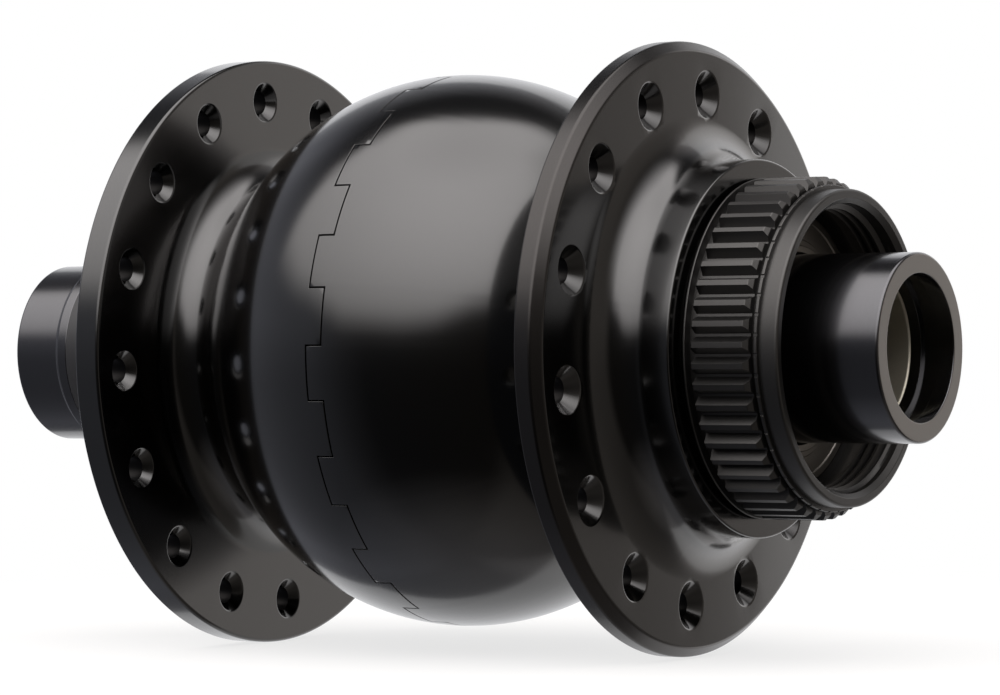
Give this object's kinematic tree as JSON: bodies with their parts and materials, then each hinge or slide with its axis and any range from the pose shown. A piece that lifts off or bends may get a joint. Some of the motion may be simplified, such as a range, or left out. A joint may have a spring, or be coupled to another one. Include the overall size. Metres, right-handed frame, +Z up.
{
  "type": "hub dynamo",
  "caption": "Bicycle front hub with a built-in generator: barrel-shaped shell in two interlocked halves, drilled spoke flanges, splined disc-rotor seat and a thru-axle bore",
  "frame": {"origin": "middle of the axle, halfway between the two end faces", "axes": "+X along the axle towards the disc rotor's side, +Z up, -Y towards the picture's viewer"},
  "size_m": [0.11, 0.0654, 0.0654],
  "materials": {
    "left_shell": "glossy black anodised",
    "right_shell": "glossy black anodised",
    "shell_seal_ring": "black rubber",
    "magnet_yoke_ring": "bare steel",
    "rotor_magnets": "ground ferrite",
    "left_bearing_outer_ring": "ground bearing steel",
    "left_bearing_seals": "black rubber",
    "left_bearing_inner_ring": "ground bearing steel",
    "left_bearing_cage": "machined brass",
    "left_bearing_balls": "polished steel",
    "right_bearing_outer_ring": "ground bearing steel",
    "right_bearing_seals": "black rubber",
    "right_bearing_inner_ring": "ground bearing steel",
    "right_bearing_cage": "machined brass",
    "right_bearing_balls": "polished steel",
    "left_bearing_circlip": "phosphated spring steel",
    "right_bearing_circlip": "phosphated spring steel",
    "left_dust_cover": "satin black anodised",
    "right_dust_cover": "satin black anodised",
    "axle_tube": "bare machined",
    "left_end_cap": "glossy black anodised",
    "right_end_cap": "glossy black anodised",
    "left_cap_o_ring": "black rubber",
    "right_cap_o_ring": "black rubber",
    "left_inner_spacer": "bare machined",
    "left_outer_spacer": "bare machined",
    "right_spacer": "bare machined",
    "stator_nut": "zinc plated",
    "stator_core": "soft iron",
    "left_claw_plate": "soft iron",
    "right_claw_plate": "soft iron",
    "coil_bobbin": "natural nylon",
    "coil_winding": "enamelled copper wire",
    "coil_leads": "enamelled copper",
    "connector_housing": "moulded black nylon",
    "connector_blades": "tinned brass"
  },
  "bodies": {
    "axle": {"axle_tube": "axle_tube", "left_end_cap": "left_end_cap", "right_end_cap": "right_end_cap", "left_cap_o_ring": "left_cap_o_ring", "right_cap_o_ring": "right_cap_o_ring", "left_inner_spacer": "left_inner_spacer", "left_outer_spacer": "left_outer_spacer", "right_spacer": "right_spacer", "stator_nut": "stator_nut", "stator_core": "stator_core", "left_claw_plate": "left_claw_plate", "right_claw_plate": "right_claw_plate", "coil_bobbin": "coil_bobbin", "coil_winding": "coil_winding", "coil_leads": "coil_leads", "connector_housing": "connector_housing", "connector_blades": "connector_blades", "left_bearing_inner_ring": "left_bearing_inner_ring", "right_bearing_inner_ring": "right_bearing_inner_ring"},
    "hub": {"left_shell": "left_shell", "right_shell": "right_shell", "shell_seal_ring": "shell_seal_ring", "magnet_yoke_ring": "magnet_yoke_ring", "rotor_magnets": "rotor_magnets", "left_bearing_outer_ring": "left_bearing_outer_ring", "left_bearing_seals": "left_bearing_seals", "right_bearing_outer_ring": "right_bearing_outer_ring", "right_bearing_seals": "right_bearing_seals", "left_bearing_circlip": "left_bearing_circlip", "right_bearing_circlip": "right_bearing_circlip", "left_dust_cover": "left_dust_cover", "right_dust_cover": "right_dust_cover"},
    "left_ball_set": {"left_bearing_cage": "left_bearing_cage", "left_bearing_balls": "left_bearing_balls"},
    "right_ball_set": {"right_bearing_cage": "right_bearing_cage", "right_bearing_balls": "right_bearing_balls"}
  },
  "joints": [
    {"name": "hub_spin", "type": "hinge", "parent": "axle", "child": "hub", "pos_m": [0, 0, 0], "axis": [1, 0, 0], "continuous": true},
    {"name": "left_cage_spin", "type": "hinge", "parent": "axle", "child": "left_ball_set", "pos_m": [-0.0285, 0, 0], "axis": [1, 0, 0], "continuous": true},
    {"name": "right_cage_spin", "type": "hinge", "parent": "axle", "child": "right_ball_set", "pos_m": [0.0362, 0, 0], "axis": [1, 0, 0], "continuous": true}
  ],
  "couplings": [
    {"joint": "left_cage_spin", "follows": "hub_spin", "ratio": 0.5558},
    {"joint": "right_cage_spin", "follows": "hub_spin", "ratio": 0.5558}
  ]
}
